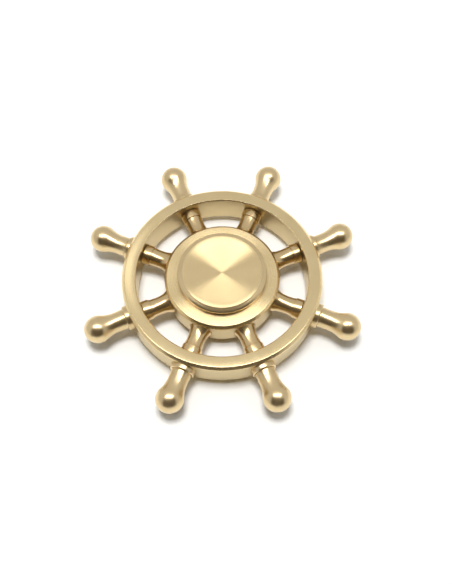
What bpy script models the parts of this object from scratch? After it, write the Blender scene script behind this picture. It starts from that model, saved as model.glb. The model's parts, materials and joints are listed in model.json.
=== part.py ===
"""Hand spinner shaped as a ship's wheel.

A brass rim and hub are joined by eight turned spokes, and eight turned handles screw through the
rim into the spokes. The hub holds a ball bearing. Two finger caps, screwed together through the
bearing's inner race, stay still between finger and thumb while the wheel turns about Z.
The origin is the bearing's centre, and heights are measured up and down from the mid-plane.
"""

import math

import bmesh
import bpy

MM = 0.001

# Arms: a spoke and a handle each, on one radial line
ARM_COUNT = 8
FIRST_ARM_DEG = 22.5
ARM_SEGMENTS = 16
RING_SEGMENTS = 48

# Rim ring
RIM_OUTER_R = 25.6 * MM
RIM_INNER_R = 22.05 * MM
RIM_HALF_HEIGHT = 4.15 * MM
RIM_OUTER_CHAMFER = 0.7 * MM
RIM_INNER_CHAMFER = 0.25 * MM

# Hub
HUB_R = 14.75 * MM
HUB_HALF_HEIGHT = 3.8 * MM
HUB_CHAMFER = 0.7 * MM
HUB_LIP_R = 5.9 * MM

# Ball bearing, inch size R188
BEARING_BORE_R = 3.175 * MM
BEARING_OUTER_R = 6.35 * MM
BEARING_HALF_WIDTH = 2.38125 * MM
INNER_LAND_R = 4.25 * MM
OUTER_LAND_R = 5.27 * MM
BALL_R = 0.794 * MM
BALL_COUNT = 10
BALL_PITCH_R = (BEARING_BORE_R + BEARING_OUTER_R) / 2
BALL_SEGMENTS = 12
BALL_RINGS = 8
RACE_CLEARANCE = 0.03 * MM

# Ball retainer, a crown with pockets open at the top
RETAINER_INNER_R = 4.47 * MM
RETAINER_OUTER_R = 5.05 * MM
RETAINER_BOTTOM = -1.2 * MM
RETAINER_TOP = 0.35 * MM
POCKET_R = BALL_R + 0.04 * MM
POCKET_SEGMENTS = 16
RETAINER_SEGMENTS = 40

# Finger caps
CAP_R = 11.3 * MM
CAP_LIP_OUTER_R = 10.1 * MM
CAP_LIP_INNER_R = 9.6 * MM
CAP_TOP = 6.2 * MM
CAP_DISH_BOTTOM = 5.2 * MM
CAP_SHOULDER_FOOT = 5.45 * MM
CAP_UNDERSIDE = 5.0 * MM
CAP_EDGE_CHAMFER = 0.15 * MM
CAP_BOSS_R = 3.9 * MM
CAP_SPIGOT_END = 0.1 * MM
CAP_SCREW_R = 2.0 * MM
CAP_SCREW_END = -3.3 * MM
CAP_TAPPED_END = 3.5 * MM

# Spoke, measured out from the wheel's centre along its own axis
SPOKE_STUD_R = 1.5 * MM
SPOKE_STUD_START = 10.7 * MM
SPOKE_SEAT = 14.4 * MM
SPOKE_ROOT_R = 2.95 * MM
SPOKE_ROOT_SLOPE = -0.62
SPOKE_WAIST = 17.8 * MM
SPOKE_WAIST_R = 2.25 * MM
SPOKE_COLLAR_START = 19.7 * MM
SPOKE_NECK_R = 2.4 * MM
SPOKE_NECK_SLOPE = 0.17
SPOKE_COLLAR_R = 2.62 * MM
SPOKE_END = 21.8 * MM
SPOKE_BORE_START = 18.4 * MM

# Handle, measured the same way
HANDLE_STUD_R = 1.0 * MM
HANDLE_STUD_START = 18.6 * MM
HANDLE_SEAT = 25.35 * MM
HANDLE_COLLAR_R = 3.15 * MM
HANDLE_COLLAR_END = 26.75 * MM
HANDLE_NECK_R = 2.65 * MM
HANDLE_NECK_SLOPE = -0.15
HANDLE_NECK_START = 27.0 * MM
HANDLE_WAIST_R = 2.52 * MM
HANDLE_WAIST = 29.3 * MM
HANDLE_BALL_R = 3.52 * MM
HANDLE_TIP = 37.5 * MM
HANDLE_BALL_FOOT_DEG = -24

# Fits and small edges
FIT_GAP = 0.03 * MM
HOLE_GAP = 0.05 * MM
SEAT_GAP = 0.05 * MM
SMALL_CHAMFER = 0.15 * MM
GROOVE_DEPTH = 0.15 * MM
COLLAR_CHAMFER = 0.25 * MM
CUTTER_RUN = 2.0 * MM

# Name, base colour, metallic, roughness
MATERIALS = {
    "brass_satin": ((0.72, 0.55, 0.30, 1.0), 1.0, 0.42),
    "brass_turned": ((0.74, 0.55, 0.29, 1.0), 1.0, 0.22),
    "brass_cap": ((0.78, 0.62, 0.36, 1.0), 1.0, 0.28),
    "bearing_steel": ((0.62, 0.62, 0.62, 1.0), 1.0, 0.18),
    "retainer_steel": ((0.50, 0.49, 0.46, 1.0), 1.0, 0.35),
}


def clear_scene():
    for obj in list(bpy.data.objects):
        bpy.data.objects.remove(obj, do_unlink=True)


def make_collection(name, parent):
    collection = bpy.data.collections.new(name)
    parent.children.link(collection)
    return collection


def make_material(name):
    base_color, metallic, roughness = MATERIALS[name]
    material = bpy.data.materials.new(name)
    material.use_nodes = True
    shader = material.node_tree.nodes["Principled BSDF"]
    shader.inputs["Base Color"].default_value = base_color
    shader.inputs["Metallic"].default_value = metallic
    shader.inputs["Roughness"].default_value = roughness
    return material


def make_empty(name, collection):
    empty = bpy.data.objects.new(name, None)
    empty.empty_display_size = 5 * MM
    collection.objects.link(empty)
    return empty


def arc(center, radius, start_deg, end_deg, steps):
    """Points of a circular arc, both ends included, as (across, along) pairs."""
    across, along = center
    angles = [math.radians(start_deg + (end_deg - start_deg) * i / steps) for i in range(steps + 1)]
    return [(across + radius * math.cos(a), along + radius * math.sin(a)) for a in angles]


def curve_between(start, start_slope, end, end_slope, steps):
    """Points between two (across, along) pairs on a cubic that has these slopes at its ends."""
    span = end[1] - start[1]
    points = []
    for i in range(1, steps):
        t = i / steps
        across = (
            (2 * t**3 - 3 * t**2 + 1) * start[0]
            + (t**3 - 2 * t**2 + t) * span * start_slope
            + (3 * t**2 - 2 * t**3) * end[0]
            + (t**3 - t**2) * span * end_slope
        )
        points.append((across, start[1] + span * t))
    return points


def turned_mesh(name, profile, segments, closed):
    """The mesh that a profile of (radius, height) points sweeps about Z, outer side top to bottom."""
    sketch = bpy.data.meshes.new(name)
    edges = [(i, i + 1) for i in range(len(profile) - 1)]
    if closed:
        edges.append((len(profile) - 1, 0))
    sketch.from_pydata([(radius, 0.0, height) for radius, height in profile], edges, [])
    lathe = bpy.data.objects.new(name, sketch)
    bpy.context.scene.collection.objects.link(lathe)
    screw = lathe.modifiers.new("Turn", "SCREW")
    screw.axis = "Z"
    screw.angle = math.tau
    screw.steps = segments
    screw.render_steps = segments
    screw.use_merge_vertices = True
    screw.merge_threshold = 1e-6
    graph = bpy.context.evaluated_depsgraph_get()
    mesh = bpy.data.meshes.new_from_object(lathe.evaluated_get(graph))
    mesh.name = name
    bpy.data.objects.remove(lathe)
    bpy.data.meshes.remove(sketch)
    mesh.shade_smooth()
    mesh.set_sharp_from_angle(angle=math.radians(30))
    return mesh


def place(name, mesh, material, collection, parent):
    """A new object for the mesh, carrying the material and parented to its body's empty."""
    obj = bpy.data.objects.new(name, mesh)
    if material and material.name not in mesh.materials:
        mesh.materials.append(material)
    collection.objects.link(obj)
    obj.parent = parent
    return obj


def point_outwards(obj, angle):
    """Turns an object made along +Z so that it lies along the radius at this angle."""
    obj.rotation_euler = (0.0, math.pi / 2, angle)


def arm_angle(index):
    return math.radians(FIRST_ARM_DEG) + math.tau * index / ARM_COUNT


def make_cutters(name, profile, angles, segments, parent_collection):
    """One radial cutter per angle, all sharing a turned mesh, in a collection of their own."""
    collection = make_collection(name + "s", parent_collection)
    mesh = turned_mesh(name, profile, segments, closed=False)
    for number, angle in enumerate(angles, start=1):
        cutter = place(f"{name}_{number}", mesh, None, collection, None)
        point_outwards(cutter, angle)
        cutter.hide_render = True
        cutter.display_type = "WIRE"
    return collection


def cut_with(obj, cutters):
    boolean = obj.modifiers.new("Cut", "BOOLEAN")
    boolean.operation = "DIFFERENCE"
    boolean.solver = "EXACT"
    boolean.operand_type = "COLLECTION"
    boolean.collection = cutters


def stepped_hole_profile(hole_r, hole_start, seat_r, seat, end):
    """A narrow hole that opens outwards into a wider flat-bottomed seat."""
    return [
        (0.0, end),
        (seat_r, end),
        (seat_r, seat),
        (hole_r, seat),
        (hole_r, hole_start),
        (0.0, hole_start),
    ]


def make_rim(material, collection, cutters, parent):
    inner, outer, top = RIM_INNER_R, RIM_OUTER_R, RIM_HALF_HEIGHT
    profile = [
        (inner, top - RIM_INNER_CHAMFER),
        (inner + RIM_INNER_CHAMFER, top),
        (outer - RIM_OUTER_CHAMFER, top),
        (outer, top - RIM_OUTER_CHAMFER),
        (outer, -top + RIM_OUTER_CHAMFER),
        (outer - RIM_OUTER_CHAMFER, -top),
        (inner + RIM_INNER_CHAMFER, -top),
        (inner, -top + RIM_INNER_CHAMFER),
    ]
    mesh = turned_mesh("rim_ring", profile, RING_SEGMENTS, closed=True)
    rim = place("rim_ring", mesh, material, collection, parent)
    hole = stepped_hole_profile(
        HANDLE_STUD_R + HOLE_GAP,
        RIM_INNER_R - CUTTER_RUN,
        HANDLE_COLLAR_R + HOLE_GAP,
        HANDLE_SEAT - SEAT_GAP,
        RIM_OUTER_R + CUTTER_RUN,
    )
    angles = [arm_angle(i) for i in range(ARM_COUNT)]
    cut_with(rim, make_cutters("rim_cutter", hole, angles, ARM_SEGMENTS, cutters))


def make_hub(material, collection, cutters, parent):
    top = HUB_HALF_HEIGHT
    seat_r = BEARING_OUTER_R + FIT_GAP
    seat_floor = -BEARING_HALF_WIDTH - FIT_GAP
    profile = [
        (seat_r, top - SMALL_CHAMFER),
        (seat_r + SMALL_CHAMFER, top),
        (HUB_R - HUB_CHAMFER, top),
        (HUB_R, top - HUB_CHAMFER),
        (HUB_R, -top + HUB_CHAMFER),
        (HUB_R - HUB_CHAMFER, -top),
        (HUB_LIP_R, -top),
        (HUB_LIP_R, seat_floor),
        (seat_r, seat_floor),
    ]
    mesh = turned_mesh("hub_body", profile, RING_SEGMENTS, closed=True)
    hub = place("hub_body", mesh, material, collection, parent)
    hole = stepped_hole_profile(
        SPOKE_STUD_R + HOLE_GAP,
        SPOKE_STUD_START - SEAT_GAP,
        SPOKE_ROOT_R + HOLE_GAP,
        SPOKE_SEAT - SEAT_GAP,
        HUB_R + CUTTER_RUN,
    )
    angles = [arm_angle(i) for i in range(ARM_COUNT)]
    cut_with(hub, make_cutters("hub_cutter", hole, angles, ARM_SEGMENTS, cutters))


def spoke_profile():
    """Outer end first: the blind tapped bore, the collar, the groove, the waist, the flare, the stud."""
    bore_r = HANDLE_STUD_R + HOLE_GAP
    neck = (SPOKE_NECK_R, SPOKE_COLLAR_START - GROOVE_DEPTH)
    waist = (SPOKE_WAIST_R, SPOKE_WAIST)
    root = (SPOKE_ROOT_R, HUB_R)
    return [
        (0.0, SPOKE_BORE_START),
        (bore_r, SPOKE_BORE_START),
        (bore_r, SPOKE_END),
        (SPOKE_COLLAR_R - SMALL_CHAMFER, SPOKE_END),
        (SPOKE_COLLAR_R, SPOKE_END - SMALL_CHAMFER),
        (SPOKE_COLLAR_R, SPOKE_COLLAR_START + SMALL_CHAMFER),
        (SPOKE_NECK_R - GROOVE_DEPTH, SPOKE_COLLAR_START),
        neck,
        *curve_between(neck, SPOKE_NECK_SLOPE, waist, 0.0, 2),
        waist,
        *curve_between(waist, 0.0, root, SPOKE_ROOT_SLOPE, 4),
        root,
        (SPOKE_ROOT_R, SPOKE_SEAT),
        (SPOKE_STUD_R, SPOKE_SEAT),
        (SPOKE_STUD_R, SPOKE_STUD_START),
        (0.0, SPOKE_STUD_START),
    ]


def handle_profile():
    """Outer end first: the ball, the waist, the neck, the groove, the collar, the stud."""
    ball_center = (0.0, HANDLE_TIP - HANDLE_BALL_R)
    ball = arc(ball_center, HANDLE_BALL_R, 90, HANDLE_BALL_FOOT_DEG, 6)
    ball[0] = (0.0, HANDLE_TIP)
    ball_slope = -math.tan(math.radians(HANDLE_BALL_FOOT_DEG))
    waist = (HANDLE_WAIST_R, HANDLE_WAIST)
    neck = (HANDLE_NECK_R, HANDLE_NECK_START)
    return [
        *ball,
        *curve_between(ball[-1], ball_slope, waist, 0.0, 4),
        waist,
        *curve_between(waist, 0.0, neck, HANDLE_NECK_SLOPE, 2),
        neck,
        (HANDLE_NECK_R - GROOVE_DEPTH, HANDLE_COLLAR_END),
        (HANDLE_COLLAR_R - COLLAR_CHAMFER, HANDLE_COLLAR_END),
        (HANDLE_COLLAR_R, HANDLE_COLLAR_END - COLLAR_CHAMFER),
        (HANDLE_COLLAR_R, HANDLE_SEAT),
        (HANDLE_STUD_R, HANDLE_SEAT),
        (HANDLE_STUD_R, HANDLE_STUD_START),
        (0.0, HANDLE_STUD_START),
    ]


def make_arms(material, collection, parent):
    for kind, profile in (("spoke", spoke_profile()), ("handle", handle_profile())):
        mesh = turned_mesh(kind, profile, ARM_SEGMENTS, closed=False)
        for i in range(ARM_COUNT):
            arm = place(f"{kind}_{i + 1}", mesh, material, collection, parent)
            point_outwards(arm, arm_angle(i))


def raceway(middle_deg, land_r):
    """The ball groove of a race, from its top edge to its bottom edge, seen about the ball's centre."""
    radius = BALL_R + RACE_CLEARANCE
    half_deg = math.degrees(math.acos(abs(BALL_PITCH_R - land_r) / radius))
    turn = half_deg if middle_deg == 0 else -half_deg
    return arc((BALL_PITCH_R, 0.0), radius, middle_deg + turn, middle_deg - turn, 4)


def make_races(material, collection, wheel, caps):
    top = BEARING_HALF_WIDTH
    inner = [
        (BEARING_BORE_R, top),
        (INNER_LAND_R, top),
        *raceway(180, INNER_LAND_R),
        (INNER_LAND_R, -top),
        (BEARING_BORE_R, -top),
    ]
    outer = [
        (OUTER_LAND_R, top),
        (BEARING_OUTER_R, top),
        (BEARING_OUTER_R, -top),
        (OUTER_LAND_R, -top),
        *reversed(raceway(0, OUTER_LAND_R)),
    ]
    for name, profile, parent in (
        ("bearing_inner_race", inner, caps),
        ("bearing_outer_race", outer, wheel),
    ):
        mesh = turned_mesh(name, profile, RING_SEGMENTS, closed=True)
        place(name, mesh, material, collection, parent)


def ball_angle(index):
    return math.tau * index / BALL_COUNT


def make_balls(material, collection, parent):
    mesh = bpy.data.meshes.new("bearing_ball")
    shape = bmesh.new()
    bmesh.ops.create_uvsphere(shape, u_segments=BALL_SEGMENTS, v_segments=BALL_RINGS, radius=BALL_R)
    shape.to_mesh(mesh)
    shape.free()
    mesh.shade_smooth()
    for i in range(BALL_COUNT):
        ball = place(f"bearing_ball_{i + 1:02d}", mesh, material, collection, parent)
        angle = ball_angle(i)
        ball.location = (BALL_PITCH_R * math.cos(angle), BALL_PITCH_R * math.sin(angle), 0.0)


def make_retainer(material, collection, cutters, parent):
    profile = [
        (RETAINER_INNER_R, RETAINER_TOP),
        (RETAINER_OUTER_R, RETAINER_TOP),
        (RETAINER_OUTER_R, RETAINER_BOTTOM),
        (RETAINER_INNER_R, RETAINER_BOTTOM),
    ]
    mesh = turned_mesh("ball_retainer", profile, RETAINER_SEGMENTS, closed=True)
    retainer = place("ball_retainer", mesh, material, collection, parent)
    pocket = [
        (0.0, BEARING_OUTER_R),
        (POCKET_R, BEARING_OUTER_R),
        (POCKET_R, BEARING_BORE_R),
        (0.0, BEARING_BORE_R),
    ]
    angles = [ball_angle(i) for i in range(BALL_COUNT)]
    cut_with(retainer, make_cutters("pocket_cutter", pocket, angles, POCKET_SEGMENTS, cutters))


def cap_outside():
    """The dished top, flat lip, rounded shoulder, side and underside of a cap, down to its boss."""
    dish_depth = CAP_TOP - CAP_DISH_BOTTOM
    dish_steps = 3
    dish = []
    for i in range(dish_steps + 1):
        share = i / dish_steps
        dish.append((CAP_LIP_INNER_R * share, CAP_DISH_BOTTOM + dish_depth * share**2))
    shoulder_steps = 3
    shoulder = []
    for i in range(shoulder_steps + 1):
        turn = math.pi / 2 * i / shoulder_steps
        across = CAP_LIP_OUTER_R + (CAP_R - CAP_LIP_OUTER_R) * math.sin(turn)
        shoulder.append((across, CAP_SHOULDER_FOOT + (CAP_TOP - CAP_SHOULDER_FOOT) * math.cos(turn)))
    return [
        *dish,
        *shoulder,
        (CAP_R, CAP_UNDERSIDE + CAP_EDGE_CHAMFER),
        (CAP_R - CAP_EDGE_CHAMFER, CAP_UNDERSIDE),
        (CAP_BOSS_R, CAP_UNDERSIDE),
        (CAP_BOSS_R, BEARING_HALF_WIDTH + FIT_GAP),
        (BEARING_BORE_R - FIT_GAP, BEARING_HALF_WIDTH + FIT_GAP),
        (BEARING_BORE_R - FIT_GAP, CAP_SPIGOT_END),
    ]


def make_caps(material, collection, parent):
    screw = [
        (CAP_SCREW_R, CAP_SPIGOT_END),
        (CAP_SCREW_R, CAP_SCREW_END),
        (0.0, CAP_SCREW_END),
    ]
    tapped = [
        (CAP_SCREW_R + HOLE_GAP, CAP_SPIGOT_END),
        (CAP_SCREW_R + HOLE_GAP, CAP_TAPPED_END),
        (0.0, CAP_TAPPED_END),
    ]
    top_mesh = turned_mesh("top_cap", cap_outside() + screw, RING_SEGMENTS, closed=False)
    place("top_cap", top_mesh, material, collection, parent)
    bottom_mesh = turned_mesh("bottom_cap", cap_outside() + tapped, RING_SEGMENTS, closed=False)
    bottom = place("bottom_cap", bottom_mesh, material, collection, parent)
    bottom.rotation_euler = (math.pi, 0.0, 0.0)


def main():
    clear_scene()
    scene_collection = bpy.context.scene.collection
    parts = make_collection("ships_wheel_spinner", scene_collection)
    cutters = make_collection("cutters", scene_collection)
    material = {name: make_material(name) for name in MATERIALS}

    caps = make_empty("finger_caps_axis", parts)
    wheel = make_empty("wheel_axis", parts)
    balls = make_empty("ball_cage_axis", parts)
    wheel.parent = caps
    balls.parent = caps

    make_rim(material["brass_satin"], parts, cutters, wheel)
    make_hub(material["brass_satin"], parts, cutters, wheel)
    make_arms(material["brass_turned"], parts, wheel)
    make_races(material["bearing_steel"], parts, wheel, caps)
    make_balls(material["bearing_steel"], parts, balls)
    make_retainer(material["retainer_steel"], parts, cutters, balls)
    make_caps(material["brass_cap"], parts, caps)


main()
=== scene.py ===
"""The looks of a brass hand spinner shaped as a ship's wheel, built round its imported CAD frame.

Every turned piece is remade with a fine surface on the CAD part's own axis and sizes, in metres.
"""

import json
import math

import bmesh
import bpy
from mathutils import Matrix, Vector

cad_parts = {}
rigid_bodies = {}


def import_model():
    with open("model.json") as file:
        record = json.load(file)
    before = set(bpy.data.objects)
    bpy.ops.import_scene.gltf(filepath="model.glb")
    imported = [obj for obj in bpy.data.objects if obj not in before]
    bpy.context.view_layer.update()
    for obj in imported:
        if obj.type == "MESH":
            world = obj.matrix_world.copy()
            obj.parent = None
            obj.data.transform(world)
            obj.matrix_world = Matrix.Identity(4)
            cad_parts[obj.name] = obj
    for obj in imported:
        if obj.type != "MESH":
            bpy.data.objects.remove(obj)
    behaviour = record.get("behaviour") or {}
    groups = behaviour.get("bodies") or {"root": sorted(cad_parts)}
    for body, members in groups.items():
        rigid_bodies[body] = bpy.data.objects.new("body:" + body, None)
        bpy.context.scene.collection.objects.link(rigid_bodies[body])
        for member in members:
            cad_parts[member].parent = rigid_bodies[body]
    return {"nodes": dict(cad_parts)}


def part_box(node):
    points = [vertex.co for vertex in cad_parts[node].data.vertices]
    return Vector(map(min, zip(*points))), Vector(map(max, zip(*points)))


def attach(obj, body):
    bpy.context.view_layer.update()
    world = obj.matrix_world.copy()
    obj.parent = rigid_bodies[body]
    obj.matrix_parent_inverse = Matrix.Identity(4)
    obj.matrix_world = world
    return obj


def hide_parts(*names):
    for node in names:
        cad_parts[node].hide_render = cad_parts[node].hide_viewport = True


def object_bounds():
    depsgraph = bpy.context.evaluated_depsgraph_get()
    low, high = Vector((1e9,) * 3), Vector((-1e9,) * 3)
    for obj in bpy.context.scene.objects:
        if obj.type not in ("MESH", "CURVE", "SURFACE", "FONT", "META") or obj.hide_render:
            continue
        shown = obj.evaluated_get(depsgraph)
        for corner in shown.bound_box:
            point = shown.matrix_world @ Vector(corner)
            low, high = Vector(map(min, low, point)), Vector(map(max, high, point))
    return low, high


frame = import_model()
cad_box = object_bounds()

MM = 0.001

# ---------------------------------------------------------------- sizes

ARM_COUNT = 8
FIRST_ARM_DEG = 22.5
BALL_COUNT = 10

RIM_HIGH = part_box("rim_ring")[1]
HUB_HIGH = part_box("hub_body")[1]
CAP_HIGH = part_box("top_cap")[1]
RACE_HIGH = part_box("bearing_outer_race")[1]

RIM_OUTER_R = RIM_HIGH.x
RIM_INNER_R = 22.05 * MM
RIM_TOP = RIM_HIGH.z
RIM_OUTER_CHAMFER = 0.7 * MM
RIM_INNER_CHAMFER = 0.25 * MM

HUB_R = HUB_HIGH.x
HUB_TOP = HUB_HIGH.z
HUB_CHAMFER = 0.7 * MM
HUB_LIP_R = 5.9 * MM

RACE_TOP = RACE_HIGH.z
BEARING_OUTER_R = RACE_HIGH.x
BEARING_BORE_R = 3.175 * MM
INNER_LAND_R = 4.25 * MM
OUTER_LAND_R = 5.27 * MM
BALL_R = 0.794 * MM
BALL_PITCH_R = (BEARING_BORE_R + BEARING_OUTER_R) / 2
RACE_CLEARANCE = 0.03 * MM

CAP_R = CAP_HIGH.x
CAP_TOP = CAP_HIGH.z
CAP_LIP_OUTER_R = 10.1 * MM
CAP_LIP_INNER_R = 9.6 * MM
CAP_LIP_DROP = 0.06 * MM
CAP_LIP_PULL = Vector((0.30, -0.18)) * MM
CAP_DISH_BOTTOM = 5.2 * MM
CAP_SHOULDER_FOOT = 5.45 * MM
CAP_FOOT_PULL = Vector((0.0, 0.22)) * MM
CAP_UNDERSIDE = 5.0 * MM
CAP_BOSS_R = 3.9 * MM
CAP_SPIGOT_END = 0.1 * MM
CAP_SCREW_R = 2.0 * MM
CAP_SCREW_END = -3.3 * MM
CAP_TAPPED_END = 3.5 * MM

SPOKE_STUD_R = 1.5 * MM
SPOKE_STUD_START = 10.7 * MM
SPOKE_SEAT = 14.4 * MM
SPOKE_ROOT_R = 2.95 * MM
SPOKE_ROOT_DEPTH = 0.1 * MM
SPOKE_ROOT_SLOPE = -0.62
SPOKE_WAIST = 17.8 * MM
SPOKE_WAIST_R = 2.25 * MM
SPOKE_COLLAR_START = 19.7 * MM
SPOKE_NECK_R = 2.4 * MM
SPOKE_NECK_SLOPE = 0.17
SPOKE_COLLAR_R = 2.62 * MM
SPOKE_END = 21.8 * MM
SPOKE_BORE_START = 18.4 * MM

HANDLE_STUD_R = 1.0 * MM
HANDLE_STUD_START = 18.6 * MM
HANDLE_SEAT = 25.35 * MM
HANDLE_COLLAR_R = 3.15 * MM
HANDLE_COLLAR_END = 26.75 * MM
HANDLE_COLLAR_ROUND = 0.3 * MM
HANDLE_NECK_R = 2.65 * MM
HANDLE_NECK_START = 26.95 * MM
HANDLE_NECK_SLOPE = -0.15
HANDLE_WAIST = 29.3 * MM
HANDLE_WAIST_R = 2.52 * MM
HANDLE_BALL_R = 3.52 * MM
HANDLE_TIP = 37.5 * MM
HANDLE_BALL_FOOT_DEG = -24

FIT_GAP = 0.03 * MM
HOLE_GAP = 0.05 * MM
SEAT_GAP = 0.05 * MM
GROOVE_WIDTH = 0.16 * MM
GROOVE_DEPTH = 0.16 * MM
GROOVE_BEVEL = 0.02 * MM
DRILL_PAST = 2 * MM
SOFT_EDGE = 0.12 * MM
EDGE_ROUND = 0.3 * MM
FINE_EDGE = 0.05 * MM

RING_SEGMENTS = 192
ARM_SEGMENTS = 64
BEARING_SEGMENTS = 96
BALL_SUBDIVISIONS = 4

ROUND_STEPS = 5
NECK_STEPS = 10
FLARE_STEPS = 16
HANDLE_BALL_STEPS = 30
DISH_STEPS = 24
SHOULDER_STEPS = 14
RACE_GROOVE_STEPS = 14

TURNED_SHARP_DEG = 40
DRILLED_SHARP_DEG = 30
ON_AXIS = 1e-9


# ---------------------------------------------------------------- outlines and turned meshes

def rounded(corners, closed):
    """Points of an outline whose (across, along, radius) corners are rounded with arcs."""
    points = []
    count = len(corners)
    for i, (across, along, radius) in enumerate(corners):
        here = Vector((across, along))
        if radius == 0 or (not closed and i in (0, count - 1)):
            points.append(tuple(here))
            continue
        before = (Vector(corners[i - 1][:2]) - here).normalized()
        after = (Vector(corners[(i + 1) % count][:2]) - here).normalized()
        half = before.angle(after) / 2
        center = here + (before + after).normalized() * (radius / math.sin(half))
        start = here + before * (radius / math.tan(half)) - center
        end = here + after * (radius / math.tan(half)) - center
        turn = start.angle_signed(end)
        for step in range(ROUND_STEPS + 1):
            arm = start.copy()
            arm.rotate(Matrix.Rotation(-turn * step / ROUND_STEPS, 2))
            points.append(tuple(center + arm))
    return points


def curve_between(start, start_slope, end, end_slope, steps):
    """Points from start to end, both (across, along), whose across follows a cubic with these slopes."""
    span = end[1] - start[1]
    points = []
    for step in range(1, steps):
        t = step / steps
        across = (
            (2 * t**3 - 3 * t**2 + 1) * start[0]
            + (t**3 - 2 * t**2 + t) * span * start_slope
            + (3 * t**2 - 2 * t**3) * end[0]
            + (t**3 - t**2) * span * end_slope
        )
        points.append((across, start[1] + span * t))
    return points


def lathe(name, outline, segments, closed=False):
    """A mesh that turns an outline of (across, along) points about Z. The outline's outer side runs from
    the top to the bottom, and a closed one joins its last point to its first."""
    shape = bmesh.new()
    rings = []
    for across, along in outline:
        if across < ON_AXIS:
            rings.append([shape.verts.new((0.0, 0.0, along))])
            continue
        ring = []
        for i in range(segments):
            angle = math.tau * i / segments
            ring.append(shape.verts.new((across * math.cos(angle), across * math.sin(angle), along)))
        rings.append(ring)
    pairs = list(zip(rings, rings[1:]))
    if closed:
        pairs.append((rings[-1], rings[0]))
    for upper, lower in pairs:
        for i in range(segments):
            j = (i + 1) % segments
            if len(upper) == 1 and len(lower) == 1:
                break
            if len(upper) == 1:
                shape.faces.new((upper[0], lower[i], lower[j]))
            elif len(lower) == 1:
                shape.faces.new((upper[j], upper[i], lower[0]))
            else:
                shape.faces.new((upper[j], upper[i], lower[i], lower[j]))
    mesh = bpy.data.meshes.new(name)
    shape.to_mesh(mesh)
    shape.free()
    mesh.shade_smooth()
    mesh.set_sharp_from_angle(angle=math.radians(TURNED_SHARP_DEG))
    return mesh


def new_piece(name, mesh, body, material, nodes, matrix=None):
    """Puts a mesh on its body and in the place of its CAD nodes."""
    piece = bpy.data.objects.new(name, mesh)
    bpy.context.scene.collection.objects.link(piece)
    if matrix is not None:
        piece.matrix_world = matrix
    if not mesh.materials:
        mesh.materials.append(material)
    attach(piece, body)
    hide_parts(*nodes)
    return piece


def along_radius(angle):
    """The matrix that lays an object made along +Z on the radius at this angle."""
    return Matrix.Rotation(angle, 4, "Z") @ Matrix.Rotation(math.pi / 2, 4, "Y")


def arm_angle(index):
    """The angle from X at which this spoke and handle stand."""
    return math.radians(FIRST_ARM_DEG) + math.tau * index / ARM_COUNT


def cut_seats(piece, hole_r, hole_start, seat_r, seat, end):
    """Cuts each arm's stepped radial hole into a ring and keeps the result as a plain mesh."""
    outline = [
        (0, end),
        (seat_r, end),
        (seat_r, seat),
        (hole_r, seat),
        (hole_r, hole_start),
        (0, hole_start),
    ]
    drill_mesh = lathe("drill", outline, ARM_SEGMENTS)
    drills = bpy.data.collections.new("drills")
    for i in range(ARM_COUNT):
        drill = bpy.data.objects.new("drill", drill_mesh)
        drill.matrix_world = along_radius(arm_angle(i))
        drills.objects.link(drill)
    bpy.context.scene.collection.children.link(drills)
    boolean = piece.modifiers.new("Seats", "BOOLEAN")
    boolean.operand_type = "COLLECTION"
    boolean.collection = drills
    boolean.solver = "EXACT"
    graph = bpy.context.evaluated_depsgraph_get()
    cut = bpy.data.meshes.new_from_object(piece.evaluated_get(graph))
    piece.modifiers.clear()
    piece.data = cut
    for drill in list(drills.objects):
        bpy.data.objects.remove(drill)
    bpy.data.collections.remove(drills)
    cut.shade_smooth()
    cut.set_sharp_from_angle(angle=math.radians(DRILLED_SHARP_DEG))


# ---------------------------------------------------------------- materials

NOISE_LOW = 0.3
NOISE_HIGH = 0.7


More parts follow.
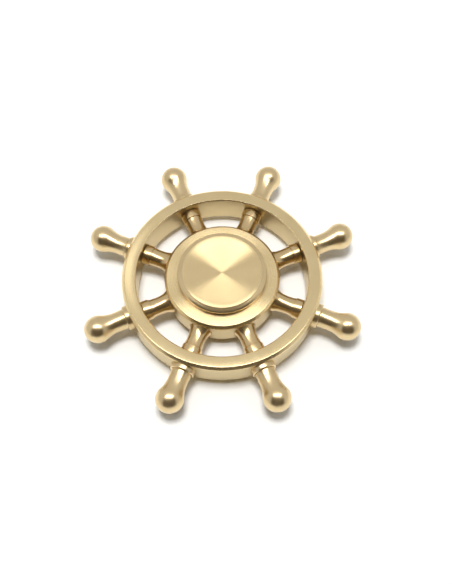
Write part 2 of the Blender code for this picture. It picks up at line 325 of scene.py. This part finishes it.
class Nodes:
    """A new material, with short calls that add and join its shader nodes."""

    def __init__(self, name):
        self.material = bpy.data.materials.new(name)
        self.material.use_nodes = True
        self.tree = self.material.node_tree
        self.shader = self.tree.nodes["Principled BSDF"]

    def add(self, kind, **settings):
        node = self.tree.nodes.new("ShaderNode" + kind)
        for key, value in settings.items():
            setattr(node, key, value)
        return node

    def join(self, source, target):
        self.tree.links.new(source, target)

    def math(self, operation, first, second=None, third=None):
        node = self.add("Math", operation=operation)
        for socket, value in zip(node.inputs, (first, second, third)):
            if value is None:
                continue
            if isinstance(value, (int, float)):
                socket.default_value = value
            else:
                self.join(value, socket)
        return node.outputs[0]

    def blend(self, first, first_share, second, second_share):
        """The sum of two values, each taken by its share."""
        return self.math(
            "ADD", self.math("MULTIPLY", first, first_share), self.math("MULTIPLY", second, second_share)
        )

    def noise(self, vector, scale, detail, roughness, dimensions="3D"):
        node = self.add("TexNoise", noise_dimensions=dimensions)
        node.inputs["Scale"].default_value = scale
        node.inputs["Detail"].default_value = detail
        node.inputs["Roughness"].default_value = roughness
        self.join(vector, node.inputs["W" if dimensions == "1D" else "Vector"])
        return node.outputs["Fac"]

    def spread(self, noise, low, high):
        """Stretches a noise, most of which lies between NOISE_LOW and NOISE_HIGH, from low to high."""
        node = self.add("MapRange")
        node.inputs["From Min"].default_value = NOISE_LOW
        node.inputs["From Max"].default_value = NOISE_HIGH
        node.inputs["To Min"].default_value = low
        node.inputs["To Max"].default_value = high
        self.join(noise, node.inputs["Value"])
        return node.outputs["Result"]

    def tint(self, factor, dark, light):
        """A colour that goes from dark to light as the factor goes from 0 to 1."""
        node = self.add("Mix", data_type="RGBA")
        self.join(factor, node.inputs["Factor"])
        for socket in node.inputs:
            if socket.type == "RGBA":
                socket.default_value = (*(dark if socket.name == "A" else light), 1.0)
        return next(socket for socket in node.outputs if socket.type == "RGBA")

    def bump(self, height):
        """Lets a height in metres tilt the surface."""
        node = self.add("Bump")
        node.inputs["Distance"].default_value = 1.0
        node.inputs["Strength"].default_value = 1.0
        self.join(height, node.inputs["Height"])
        self.join(node.outputs["Normal"], self.shader.inputs["Normal"])


BRASS_LIGHT = (0.930, 0.735, 0.405)
BRASS_DARK = (0.870, 0.675, 0.365)
# Painted shade: the rim's top brass is a little darker than the hub's, standing in for its dimmer
# reflection.
SHADED_RIM_LIGHT = (0.850, 0.678, 0.380)
SHADED_RIM_DARK = (0.795, 0.622, 0.342)
# Painted shade: the ring walls get a darker copy of the brass, standing in for the shaded floor and parts
# they reflect.
SHADED_WALL_LIGHT = (0.640, 0.515, 0.285)
SHADED_WALL_DARK = (0.570, 0.450, 0.240)
# Painted shade: the handles' brass is darkened, standing in for the shaded floor their lower sides
# reflect.
SHADED_HANDLE_LIGHT = (0.770, 0.605, 0.350)
SHADED_HANDLE_DARK = (0.700, 0.540, 0.300)
# Painted shade: the spokes' brass is darkened for the shade they lie in between hub and rim.
SHADED_SPOKE_LIGHT = (0.740, 0.565, 0.310)
SHADED_SPOKE_DARK = (0.670, 0.495, 0.260)
# Painted shade: the caps' shoulder and underside get a darker brass, standing in for the dark band
# reflected on the shoulder.
SHADED_CAP_EDGE_LIGHT = (0.780, 0.610, 0.345)
SHADED_CAP_EDGE_DARK = (0.720, 0.555, 0.310)
BEARING_LIGHT = (0.66, 0.66, 0.67)
BEARING_DARK = (0.58, 0.58, 0.59)
RETAINER_LIGHT = (0.55, 0.54, 0.51)
RETAINER_DARK = (0.48, 0.47, 0.44)

MARK_SCALE = 9000.0
BAND_SCALE = 1400.0
CLOUD_SCALE = 160.0
SPECKLE_SCALE = 5200.0
FEED_ALONG = 1.37
ROUND_THE_AXIS = 0.25


def metal(name, roughness, anisotropic, lines, grain, wander, dark=BRASS_DARK, light=BRASS_LIGHT):
    """A turned or blasted metal. lines is the depth of the cutter's marks round the piece's own axis and
    grain the depth of the blasted grain, both in metres. wander is how far the roughness strays."""
    n = Nodes(name)
    place = n.add("TexCoord").outputs["Object"]
    split = n.add("SeparateXYZ")
    n.join(place, split.inputs[0])
    x, y, z = split.outputs
    radius = n.math("SQRT", n.math("ADD", n.math("MULTIPLY", x, x), n.math("MULTIPLY", y, y)))
    feed = n.math("MULTIPLY_ADD", z, FEED_ALONG, radius)
    cloud = n.noise(place, CLOUD_SCALE, 4.0, 0.55)
    speckle = n.noise(place, SPECKLE_SCALE, 2.0, 0.6)

    shader = n.shader
    shader.inputs["Metallic"].default_value = 1.0
    shader.inputs["Anisotropic"].default_value = anisotropic
    if anisotropic:
        shader.inputs["Anisotropic Rotation"].default_value = ROUND_THE_AXIS
        tangent = n.add("Tangent", direction_type="RADIAL", axis="Z")
        n.join(tangent.outputs[0], shader.inputs["Tangent"])
    n.join(n.tint(n.spread(cloud, 0.0, 1.0), dark, light), shader.inputs["Base Color"])
    if lines:
        marks = n.noise(feed, MARK_SCALE, 2.0, 0.7, "1D")
        bands = n.noise(feed, BAND_SCALE, 3.0, 0.6, "1D")
        mixed = n.blend(bands, 0.6, cloud, 0.4)
        n.bump(n.blend(marks, lines, speckle, grain))
    else:
        mixed = n.blend(cloud, 0.5, speckle, 0.5)
        n.bump(n.math("MULTIPLY", speckle, grain))
    n.join(n.spread(mixed, roughness - wander, roughness + wander), shader.inputs["Roughness"])
    return n.material


brass_satin = metal("brass_satin", 0.16, 0.0, 0.0, 0.5e-6, 0.02, SHADED_RIM_DARK, SHADED_RIM_LIGHT)
brass_wall_shaded = metal("brass_wall_shaded", 0.32, 0.35, 0.8e-6, 0.8e-6, 0.04, SHADED_WALL_DARK, SHADED_WALL_LIGHT)
brass_edge = metal("brass_edge", 0.28, 0.0, 0.0, 0.3e-6, 0.04)
brass_turned = metal("brass_turned", 0.29, 0.3, 0.05e-6, 0.1e-6, 0.008, SHADED_HANDLE_DARK, SHADED_HANDLE_LIGHT)
brass_spoke_shaded = metal("brass_spoke_shaded", 0.25, 0.3, 0.05e-6, 0.1e-6, 0.008, SHADED_SPOKE_DARK, SHADED_SPOKE_LIGHT)
brass_cap = metal("brass_cap", 0.34, 1.0, 0.4e-6, 0.0, 0.03)
brass_cap_edge_shaded = metal("brass_cap_edge_shaded", 0.24, 0.0, 0.0, 0.2e-6, 0.03, SHADED_CAP_EDGE_DARK, SHADED_CAP_EDGE_LIGHT)
brass_hub_face = metal("brass_hub_face", 0.26, 0.95, 0.1e-6, 0.3e-6, 0.02)
bearing_steel = metal("bearing_steel", 0.10, 0.0, 0.0, 0.1e-6, 0.02, BEARING_DARK, BEARING_LIGHT)
retainer_steel = metal("retainer_steel", 0.30, 0.0, 0.0, 0.5e-6, 0.05, RETAINER_DARK, RETAINER_LIGHT)


def paint_faces(mesh, materials, choose):
    """Gives each face the material whose index choose() returns for its centre and normal."""
    for material in materials:
        mesh.materials.append(material)
    for face in mesh.polygons:
        face.material_index = choose(face.center, face.normal)


FLAT_NORMAL_Z = 0.95
WALL_NORMAL_Z = 0.05


def ring_face(_center, normal):
    """0 on a ring's flat top or bottom, 1 on its walls and 2 on its slanted and rounded edges."""
    if abs(normal.z) > FLAT_NORMAL_Z:
        return 0
    return 2 if abs(normal.z) > WALL_NORMAL_Z else 1


# ---------------------------------------------------------------- the wheel

def make_rim():
    """The flat rim ring, with a seat and a hole for each handle."""
    inner, outer, top = RIM_INNER_R, RIM_OUTER_R, RIM_TOP
    wide, narrow = RIM_OUTER_CHAMFER, RIM_INNER_CHAMFER
    corners = [
        (inner, top - narrow, SOFT_EDGE / 2),
        (inner + narrow, top, SOFT_EDGE / 2),
        (outer - wide, top, EDGE_ROUND),
        (outer, top - wide, EDGE_ROUND),
        (outer, -top + wide, EDGE_ROUND),
        (outer - wide, -top, EDGE_ROUND),
        (inner + narrow, -top, SOFT_EDGE / 2),
        (inner, -top + narrow, SOFT_EDGE / 2),
    ]
    mesh = lathe("rim", rounded(corners, closed=True), RING_SEGMENTS, closed=True)
    rim = new_piece("rim", mesh, "wheel", brass_satin, ["rim_ring"])
    cut_seats(
        rim,
        HANDLE_STUD_R + HOLE_GAP,
        RIM_INNER_R - DRILL_PAST,
        HANDLE_COLLAR_R + HOLE_GAP,
        HANDLE_SEAT - SEAT_GAP,
        RIM_OUTER_R + DRILL_PAST,
    )
    rim.data.materials.clear()
    # The rim's walls take the darker, painted-shade copy of the brass.
    paint_faces(rim.data, [brass_satin, brass_wall_shaded, brass_edge], ring_face)


def make_hub():
    """The hub, bored for the bearing down to a lip, with a seat and a hole for each spoke."""
    top = HUB_TOP
    seat_r = BEARING_OUTER_R + FIT_GAP
    seat_floor = -RACE_TOP - FIT_GAP
    corners = [
        (seat_r, top, SOFT_EDGE),
        (HUB_R - HUB_CHAMFER, top, EDGE_ROUND),
        (HUB_R, top - HUB_CHAMFER, EDGE_ROUND),
        (HUB_R, -top + HUB_CHAMFER, EDGE_ROUND),
        (HUB_R - HUB_CHAMFER, -top, EDGE_ROUND),
        (HUB_LIP_R, -top, SOFT_EDGE),
        (HUB_LIP_R, seat_floor, 0),
        (seat_r, seat_floor, 0),
    ]
    mesh = lathe("hub", rounded(corners, closed=True), RING_SEGMENTS, closed=True)
    hub = new_piece("hub", mesh, "wheel", brass_satin, ["hub_body"])
    cut_seats(
        hub,
        SPOKE_STUD_R + HOLE_GAP,
        SPOKE_STUD_START - SEAT_GAP,
        SPOKE_ROOT_R + HOLE_GAP,
        SPOKE_SEAT - SEAT_GAP,
        HUB_R + DRILL_PAST,
    )
    hub.data.materials.clear()
    # The hub's walls take the darker, painted-shade copy of the brass.
    paint_faces(hub.data, [brass_hub_face, brass_wall_shaded, brass_edge], ring_face)


def spoke_outline():
    """A spoke from its tapped outer end to the stud at its root."""
    bore_r = HANDLE_STUD_R + HOLE_GAP
    groove_r = SPOKE_NECK_R - GROOVE_DEPTH
    groove_out = SPOKE_COLLAR_START + GROOVE_WIDTH / 2
    groove_in = SPOKE_COLLAR_START - GROOVE_WIDTH / 2
    outer_end = rounded(
        [
            (0.0, SPOKE_BORE_START, 0),
            (bore_r, SPOKE_BORE_START, 0),
            (bore_r, SPOKE_END, 0),
            (SPOKE_COLLAR_R, SPOKE_END, SOFT_EDGE),
            (SPOKE_COLLAR_R, groove_out, FINE_EDGE),
            (groove_r, groove_out, 0),
            (groove_r, groove_in, 0),
            (SPOKE_NECK_R, groove_in, 0),
        ],
        closed=False,
    )
    neck = (SPOKE_NECK_R, groove_in)
    waist = (SPOKE_WAIST_R, SPOKE_WAIST)
    root = (SPOKE_ROOT_R, HUB_R - SPOKE_ROOT_DEPTH)
    seat = [
        (SPOKE_ROOT_R, SPOKE_SEAT),
        (SPOKE_STUD_R, SPOKE_SEAT),
        (SPOKE_STUD_R, SPOKE_STUD_START),
        (0.0, SPOKE_STUD_START),
    ]
    return [
        *outer_end,
        *curve_between(neck, SPOKE_NECK_SLOPE, waist, 0.0, NECK_STEPS),
        waist,
        *curve_between(waist, 0.0, root, SPOKE_ROOT_SLOPE, FLARE_STEPS),
        root,
        *seat,
    ]


def handle_outline():
    """A handle from the tip of its ball end, over waist, neck and collar, to the end of its stud."""
    center = HANDLE_TIP - HANDLE_BALL_R
    foot = math.radians(HANDLE_BALL_FOOT_DEG)
    ball = []
    for step in range(HANDLE_BALL_STEPS + 1):
        angle = math.pi / 2 + (foot - math.pi / 2) * step / HANDLE_BALL_STEPS
        ball.append((HANDLE_BALL_R * math.cos(angle), center + HANDLE_BALL_R * math.sin(angle)))
    ball[0] = (0.0, HANDLE_TIP)
    foot_slope = -math.tan(foot)
    waist = (HANDLE_WAIST_R, HANDLE_WAIST)
    neck = (HANDLE_NECK_R, HANDLE_NECK_START)
    groove_r = HANDLE_NECK_R - GROOVE_DEPTH
    collar = rounded(
        [
            (*neck, 0),
            (groove_r, HANDLE_NECK_START - GROOVE_BEVEL, 0),
            (groove_r, HANDLE_COLLAR_END, 0),
            (HANDLE_COLLAR_R, HANDLE_COLLAR_END, HANDLE_COLLAR_ROUND),
            (HANDLE_COLLAR_R, HANDLE_SEAT, 0),
            (HANDLE_STUD_R, HANDLE_SEAT, 0),
            (HANDLE_STUD_R, HANDLE_STUD_START, 0),
            (0.0, HANDLE_STUD_START, 0),
        ],
        closed=False,
    )
    return [
        *ball,
        *curve_between(ball[-1], foot_slope, waist, 0.0, FLARE_STEPS),
        waist,
        *curve_between(waist, 0.0, neck, HANDLE_NECK_SLOPE, NECK_STEPS),
        *collar,
    ]


def make_arms():
    """The eight spokes and the eight handles, each kind with one shared mesh."""
    kinds = (
        ("spoke", lathe("spoke", spoke_outline(), ARM_SEGMENTS), brass_spoke_shaded),
        ("handle", lathe("handle", handle_outline(), ARM_SEGMENTS), brass_turned),
    )
    for i in range(ARM_COUNT):
        matrix = along_radius(arm_angle(i))
        for kind, mesh, brass in kinds:
            node = f"{kind}_{i + 1}"
            new_piece(f"turned_{node}", mesh, "wheel", brass, [node], matrix)


# ---------------------------------------------------------------- finger caps

def cap_outline(spigot):
    """A finger cap from the middle of its dish, over lip, shoulder and boss, to its own spigot."""
    dish = []
    for step in range(DISH_STEPS + 1):
        share = step / DISH_STEPS
        rise = (CAP_TOP - CAP_DISH_BOTTOM) * share**2
        dish.append((CAP_LIP_INNER_R * share, CAP_DISH_BOTTOM + rise))
    lip_edge = Vector((CAP_LIP_OUTER_R, CAP_TOP - CAP_LIP_DROP))
    foot = Vector((CAP_R, CAP_SHOULDER_FOOT))
    shoulder = []
    for step in range(SHOULDER_STEPS + 1):
        t = step / SHOULDER_STEPS
        point = (1 - t) ** 3 * lip_edge + 3 * (1 - t) ** 2 * t * (lip_edge + CAP_LIP_PULL)
        point += 3 * (1 - t) * t**2 * (foot + CAP_FOOT_PULL) + t**3 * foot
        shoulder.append(tuple(point))
    below = rounded(
        [
            (CAP_R, CAP_SHOULDER_FOOT, 0),
            (CAP_R, CAP_UNDERSIDE, SOFT_EDGE),
            (CAP_BOSS_R, CAP_UNDERSIDE, SOFT_EDGE),
            (CAP_BOSS_R, RACE_TOP + FIT_GAP, FINE_EDGE),
            (BEARING_BORE_R - FIT_GAP, RACE_TOP + FIT_GAP, 0),
            (BEARING_BORE_R - FIT_GAP, CAP_SPIGOT_END, FINE_EDGE),
            *[(across, along, 0) for across, along in spigot],
        ],
        closed=False,
    )
    return [*dish, *shoulder[:-1], *below]


def make_caps():
    """The two finger caps: the top one carries the screw and the bottom one is tapped for it."""
    screw = [(CAP_SCREW_R, CAP_SPIGOT_END), (CAP_SCREW_R, CAP_SCREW_END), (0.0, CAP_SCREW_END)]
    bore_r = CAP_SCREW_R + HOLE_GAP
    tapped = [(bore_r, CAP_SPIGOT_END), (bore_r, CAP_TAPPED_END), (0.0, CAP_TAPPED_END)]
    turned_over = Matrix.Rotation(math.pi, 4, "X")

    def cap_face(center, _normal):
        across = math.hypot(center.x, center.y)
        return 0 if across < CAP_LIP_OUTER_R and center.z > CAP_UNDERSIDE else 1

    for node, spigot, matrix in (("top_cap", screw, None), ("bottom_cap", tapped, turned_over)):
        mesh = lathe("dished_" + node, cap_outline(spigot), RING_SEGMENTS)
        # The dish and lip take the cap brass; the shoulder and below take its darker, painted-shade copy.
        paint_faces(mesh, [brass_cap, brass_cap_edge_shaded], cap_face)
        new_piece("dished_" + node, mesh, "finger_caps", brass_cap, [node], matrix)


# ---------------------------------------------------------------- bearing

def ball_groove(middle, land_r):
    """A race's ball groove, from its top edge to its bottom edge. middle is the direction of its deepest
    line seen from a ball's centre: 0 is away from the axis, and pi towards it."""
    radius = BALL_R + RACE_CLEARANCE
    half = math.acos(abs(BALL_PITCH_R - land_r) / radius)
    turn = half if middle == 0 else -half
    points = []
    for step in range(RACE_GROOVE_STEPS + 1):
        angle = middle + turn * (1 - 2 * step / RACE_GROOVE_STEPS)
        points.append((BALL_PITCH_R + radius * math.cos(angle), radius * math.sin(angle)))
    return points


def make_bearing():
    """The two races and the balls; the retainer keeps its CAD mesh and only gets a material."""
    top = RACE_TOP
    inner = [(BEARING_BORE_R, top), (INNER_LAND_R, top), *ball_groove(math.pi, INNER_LAND_R)]
    inner += [(INNER_LAND_R, -top), (BEARING_BORE_R, -top)]
    outer = [(OUTER_LAND_R, top), (BEARING_OUTER_R, top), (BEARING_OUTER_R, -top), (OUTER_LAND_R, -top)]
    outer += reversed(ball_groove(0, OUTER_LAND_R))
    for name, outline, body in (("inner_race", inner, "finger_caps"), ("outer_race", outer, "wheel")):
        mesh = lathe(name, outline, BEARING_SEGMENTS, closed=True)
        new_piece(name, mesh, body, bearing_steel, ["bearing_" + name])

    mesh = bpy.data.meshes.new("ball")
    shape = bmesh.new()
    bmesh.ops.create_icosphere(shape, subdivisions=BALL_SUBDIVISIONS, radius=BALL_R)
    shape.to_mesh(mesh)
    shape.free()
    mesh.shade_smooth()
    for i in range(BALL_COUNT):
        angle = math.tau * i / BALL_COUNT
        place = Matrix.Translation((BALL_PITCH_R * math.cos(angle), BALL_PITCH_R * math.sin(angle), 0))
        name = f"ball_{i + 1:02d}"
        new_piece(name, mesh, "ball_cage", bearing_steel, ["bearing_" + name], place)

    retainer = frame["nodes"]["ball_retainer"].data
    retainer.materials.clear()
    retainer.materials.append(retainer_steel)


make_rim()
make_hub()
make_arms()
make_caps()
make_bearing()


# ---------------------------------------------------------------- studio

FLOOR_HALF = 2.5
PAPER_COLOR = (0.94, 0.935, 0.92)
PAPER_ROUGHNESS = 0.9

KEY_PLACE = (-0.02, 0.010, 0.45)
KEY_SIZE = (0.13, 0.12)
KEY_BRIGHTNESS = 35.0
FILL_PLACE = (0.0, 0.75, 1.0)
FILL_SIZE = (3.0, 1.9)
FILL_BRIGHTNESS = 0.98
FILL_COLOR = (0.98, 0.99, 0.95)
SHINE_PLACE = (0.0, 0.004, 0.45)
SHINE_SIZE = (0.50, 0.144)
SHINE_BRIGHTNESS = 5.6
SIDE_PLACE = (-0.101, 0.234, 0.45)
SIDE_SIZE = (0.063, 0.063)
SIDE_BRIGHTNESS = 0.95
CARD_PLACE = (0.0, -0.287, 0.249)
CARD_SIZE = (0.90, 0.560)
CARD_SHADE = (0.135, 0.110, 0.082)
MIDDLE = (0.0, 0.0, 0.0)

WORLD_COLOR = (1.0, 0.99, 0.98)
WORLD_BRIGHTNESS = 0.68

SENSOR_WIDTH = 36
LENS = 45.853
CLIP_START = 0.01
CLIP_END = 10
CAMERA_PLACE = (0.0, -84.13 * MM, 173.795 * MM)
CAMERA_LOOK = Vector((0.00495, 0.42301, -0.90611))


def square_mesh(name, half):
    """A square in XY that reaches this far from its middle."""
    mesh = bpy.data.meshes.new(name)
    shape = bmesh.new()
    bmesh.ops.create_grid(shape, x_segments=1, y_segments=1, size=half)
    shape.to_mesh(mesh)
    shape.free()
    return mesh


def matt(name, color, roughness):
    """A plain matt material."""
    n = Nodes(name)
    n.shader.inputs["Base Color"].default_value = (*color, 1.0)
    n.shader.inputs["Roughness"].default_value = roughness
    return n.material


def facing(place, aim, axis):
    """The rotation that turns this axis of an object at place towards aim."""
    return (Vector(aim) - Vector(place)).to_track_quat(axis, "Y").to_euler()


def make_floor():
    """The white paper under the spinner."""
    mesh = square_mesh("floor", FLOOR_HALF)
    floor = bpy.data.objects.new("floor", mesh)
    floor.location.z = cad_box[0][2]
    bpy.context.scene.collection.objects.link(floor)
    mesh.materials.append(matt("paper", PAPER_COLOR, PAPER_ROUGHNESS))


def make_softbox(name, place, aim, size, brightness, color=(1.0, 1.0, 1.0)):
    """An area light whose face is this bright, where 1 is white paper."""
    light = bpy.data.lights.new(name, "AREA")
    light.shape = "RECTANGLE"
    light.size, light.size_y = size
    light.energy = brightness * math.pi * size[0] * size[1]
    light.color = color
    lamp = bpy.data.objects.new(name, light)
    lamp.location = place
    lamp.rotation_euler = facing(place, aim, "-Z")
    bpy.context.scene.collection.objects.link(lamp)
    return lamp


def make_card(name, place, aim, size, shade):
    """A dark matt card that shows in reflections only."""
    mesh = square_mesh(name, 0.5)
    card = bpy.data.objects.new(name, mesh)
    card.location = place
    card.scale = (*size, 1.0)
    card.rotation_euler = facing(place, aim, "Z")
    bpy.context.scene.collection.objects.link(card)
    mesh.materials.append(matt(name, shade, 1.0))
    card.visible_camera = False
    card.visible_shadow = False
    card.visible_diffuse = False


def make_world():
    """A room that shines in reflections and lights nothing matt."""
    world = bpy.data.worlds.new("studio")
    bpy.context.scene.world = world
    world.use_nodes = True
    background = world.node_tree.nodes["Background"]
    background.inputs["Color"].default_value = (*WORLD_COLOR, 1.0)
    background.inputs["Strength"].default_value = WORLD_BRIGHTNESS
    world.cycles_visibility.diffuse = False


def make_camera():
    """A camera above the near side, close to the spinner."""
    camera = bpy.data.cameras.new("camera")
    camera.sensor_width = SENSOR_WIDTH
    camera.lens = LENS
    camera.clip_start = CLIP_START
    camera.clip_end = CLIP_END
    eye = bpy.data.objects.new("camera", camera)
    eye.location = CAMERA_PLACE
    right = CAMERA_LOOK.cross(Vector((0, 0, 1))).normalized()
    up = right.cross(CAMERA_LOOK)
    eye.rotation_euler = Matrix((right, up, -CAMERA_LOOK)).transposed().to_euler()
    bpy.context.scene.collection.objects.link(eye)
    bpy.context.scene.camera = eye


def below(place):
    """The point of the table straight under this place."""
    return (place[0], place[1], 0.0)


make_floor()
key = make_softbox("key_softbox", KEY_PLACE, below(KEY_PLACE), KEY_SIZE, KEY_BRIGHTNESS)
key.visible_glossy = False
fill = make_softbox("fill_ceiling", FILL_PLACE, below(FILL_PLACE), FILL_SIZE, FILL_BRIGHTNESS, FILL_COLOR)
fill.visible_glossy = False
shine = make_softbox("overhead_shine", SHINE_PLACE, MIDDLE, SHINE_SIZE, SHINE_BRIGHTNESS)
shine.visible_diffuse = False
side = make_softbox("side_shine", SIDE_PLACE, below(SIDE_PLACE), SIDE_SIZE, SIDE_BRIGHTNESS)
side.visible_diffuse = False
make_card("camera_card", CARD_PLACE, MIDDLE, CARD_SIZE, CARD_SHADE)
make_world()
make_camera()
bpy.context.scene.view_settings.view_transform = "Standard"

bpy.context.view_layer.update()
